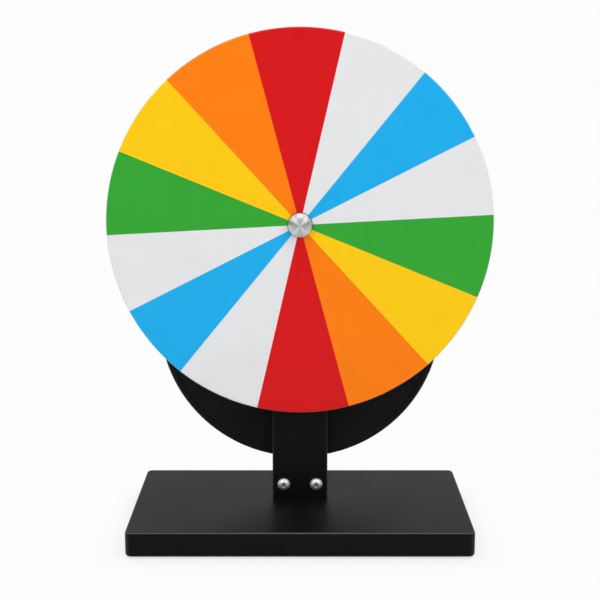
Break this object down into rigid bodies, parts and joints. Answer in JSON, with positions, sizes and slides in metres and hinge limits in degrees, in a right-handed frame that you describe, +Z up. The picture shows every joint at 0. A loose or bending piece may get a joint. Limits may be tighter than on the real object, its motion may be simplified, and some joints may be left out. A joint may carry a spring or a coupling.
{
  "type": "newton colour disc with crank",
  "caption": "Hand-cranked demonstration disc with coloured sectors, on a post and base board, turned faster than its crank wheel by a round belt.",
  "frame": {"origin": "on the surface that the four feet stand on, under the middle of the base board", "axes": "+Z up, +Y from the disc towards the crank wheel and its handle, +X to the right as the disc's coloured face is seen"},
  "size_m": [0.2998, 0.155, 0.4009],
  "materials": {
    "disc_paint": "satin",
    "board_lacquer": "satin",
    "stand_paint": "satin",
    "wheel_plastic": "satin",
    "pulley_plastic": "satin",
    "bright_steel": "satin",
    "bronze": "satin",
    "rubber": "matte",
    "belt_rubber": "matte",
    "fibre": "matte"
  },
  "bodies": {
    "stand": {"base_board": "board_lacquer", "post": "stand_paint", "post_bracket": "stand_paint", "foot_front_left": "rubber", "foot_screw_front_left": "bright_steel", "foot_front_right": "rubber", "foot_screw_front_right": "bright_steel", "foot_rear_left": "rubber", "foot_screw_rear_left": "bright_steel", "foot_rear_right": "rubber", "foot_screw_rear_right": "bright_steel", "post_bolt_left": "bright_steel", "post_washer_left": "bright_steel", "post_nut_left": "bright_steel", "bracket_screw_left": "bright_steel", "post_bolt_right": "bright_steel", "post_washer_right": "bright_steel", "post_nut_right": "bright_steel", "bracket_screw_right": "bright_steel", "bearing_housing": "stand_paint", "disc_bush_front": "bronze", "disc_bush_rear": "bronze", "crank_axle": "bright_steel", "axle_washer_front": "bright_steel", "axle_nut_front": "bright_steel", "axle_washer_rear": "bright_steel", "axle_cap_nut": "bright_steel", "drive_belt": "belt_rubber"},
    "disc": {"colour_disc": "disc_paint", "disc_shaft": "bright_steel", "disc_hub": "stand_paint", "hub_grub_screw": "bright_steel", "disc_washer": "fibre", "dome_nut": "bright_steel", "small_pulley": "pulley_plastic", "pulley_grub_screw": "bright_steel"},
    "crank": {"crank_wheel": "wheel_plastic", "drive_pulley": "pulley_plastic", "pulley_screw_1": "bright_steel", "pulley_screw_2": "bright_steel", "pulley_screw_3": "bright_steel", "wheel_bush_front": "bronze", "wheel_bush_rear": "bronze", "handle_spindle": "bright_steel"},
    "grip": {"handle_grip": "wheel_plastic"}
  },
  "joints": [
    {"name": "crank_turn", "type": "hinge", "parent": "stand", "child": "crank", "pos_m": [0, 0.02, 0.166], "axis": [0, 1, 0], "continuous": true},
    {"name": "disc_spin", "type": "hinge", "parent": "stand", "child": "disc", "pos_m": [0, 0, 0.251], "axis": [0, 1, 0], "continuous": true},
    {"name": "grip_spin", "type": "hinge", "parent": "crank", "child": "grip", "pos_m": [0, 0.0523, 0.074], "axis": [0, 1, 0], "continuous": true}
  ],
  "couplings": [
    {"joint": "disc_spin", "follows": "crank_turn", "ratio": 5}
  ]
}
